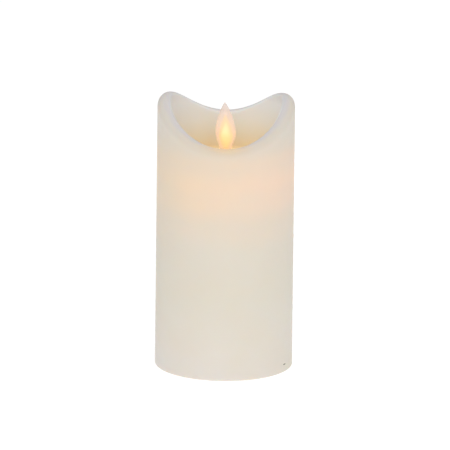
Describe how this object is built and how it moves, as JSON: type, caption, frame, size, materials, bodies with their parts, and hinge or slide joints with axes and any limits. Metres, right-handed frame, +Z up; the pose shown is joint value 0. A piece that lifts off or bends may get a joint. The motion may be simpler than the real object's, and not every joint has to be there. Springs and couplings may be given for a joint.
{
  "type": "flameless led pillar candle",
  "caption": "Hollow ivory wax pillar candle with a melted saddle-shaped rim, a swinging lit flame in its recess, a hinged battery door and a slide switch underneath.",
  "frame": {"origin": "centre of the foot ring that the candle stands on", "axes": "+Z up along the candle's axis; the low side of the rim is the front and faces -Y; +X is to the right seen from the front"},
  "size_m": [0.075, 0.075, 0.1493],
  "materials": {
    "wax": "satin ivory paraffin wax, faintly brushed, glowing warm round the flame's foot",
    "ivory_plastic": "fine-textured moulded plastic",
    "black_plastic": "fine-textured moulded plastic",
    "flame_plastic": "translucent frosted plastic, lit from below",
    "led_resin": "clear warm-tinted epoxy",
    "steel": "zinc-plated steel",
    "nickel_plate": "nickel-plated spring steel",
    "magnet_plate": "bright nickel plate",
    "copper": "enamelled copper wire",
    "circuit_board": "green solder mask on glass-fibre board",
    "cell_jacket": "plain printed metal-look jacket with bare steel ends",
    "chip_ceramic": "matt black package",
    "capacitor_sleeve": "shrunk plastic sleeve",
    "red_insulation": "satin insulation",
    "black_insulation": "satin insulation",
    "white_insulation": "satin insulation"
  },
  "bodies": {
    "candle": {"base_plate": "ivory_plastic", "battery_holder": "ivory_plastic", "battery_left": "cell_jacket", "battery_right": "cell_jacket", "board_screws_1": "steel", "board_screws_2": "steel", "board_screws_3": "steel", "chip_resistor_1": "chip_ceramic", "chip_resistor_2": "chip_ceramic", "chip_resistor_3": "chip_ceramic", "chip_resistor_4": "chip_ceramic", "coil_bobbin": "black_plastic", "coil_winding": "copper", "door_hinge_pin": "steel", "driver_board": "circuit_board", "flame_bezel": "ivory_plastic", "flame_led": "led_resin", "gimbal_pin_left": "steel", "gimbal_pin_right": "steel", "holder_screws_1": "steel", "holder_screws_2": "steel", "lead_negative": "black_insulation", "lead_positive": "red_insulation", "lead_switched": "white_insulation", "led_lead_left": "copper", "led_lead_right": "copper", "module_cap": "black_plastic", "module_cup": "black_plastic", "module_screws_1": "steel", "module_screws_2": "steel", "module_screws_3": "steel", "mount_screws_1": "steel", "mount_screws_2": "steel", "negative_spring": "steel", "negative_terminal": "nickel_plate", "positive_terminal": "nickel_plate", "smoothing_capacitor": "capacitor_sleeve", "switch_board": "circuit_board", "switch_case": "steel", "switch_screws_1": "steel", "switch_screws_2": "steel", "timer_chip": "chip_ceramic", "timer_crystal": "steel", "wax_shell": "wax"},
    "gimbal": {"gimbal_ring": "black_plastic"},
    "flame": {"flame_diffuser": "flame_plastic", "flame_carrier": "ivory_plastic", "swing_magnet": "magnet_plate", "sway_pin": "steel"},
    "door": {"battery_door": "ivory_plastic", "bridge_contact": "nickel_plate", "bridge_spring": "steel"},
    "slider": {"switch_slider": "black_plastic"}
  },
  "joints": [
    {"name": "ring_rock", "type": "hinge", "parent": "candle", "child": "gimbal", "pos_m": [0, 0, 0.1055], "axis": [1, 0, 0], "range_deg": [-10, 10]},
    {"name": "flame_sway", "type": "hinge", "parent": "gimbal", "child": "flame", "pos_m": [0, 0, 0.1055], "axis": [0, 1, 0], "range_deg": [-10, 10]},
    {"name": "door_swing", "type": "hinge", "parent": "candle", "child": "door", "pos_m": [0, 0.0148, 0.002], "axis": [1, 0, 0], "range_deg": [0, 95]},
    {"name": "switch_slide", "type": "slide", "parent": "candle", "child": "slider", "axis": [1, 0, 0], "range_m": [0, 0.004]}
  ]
}
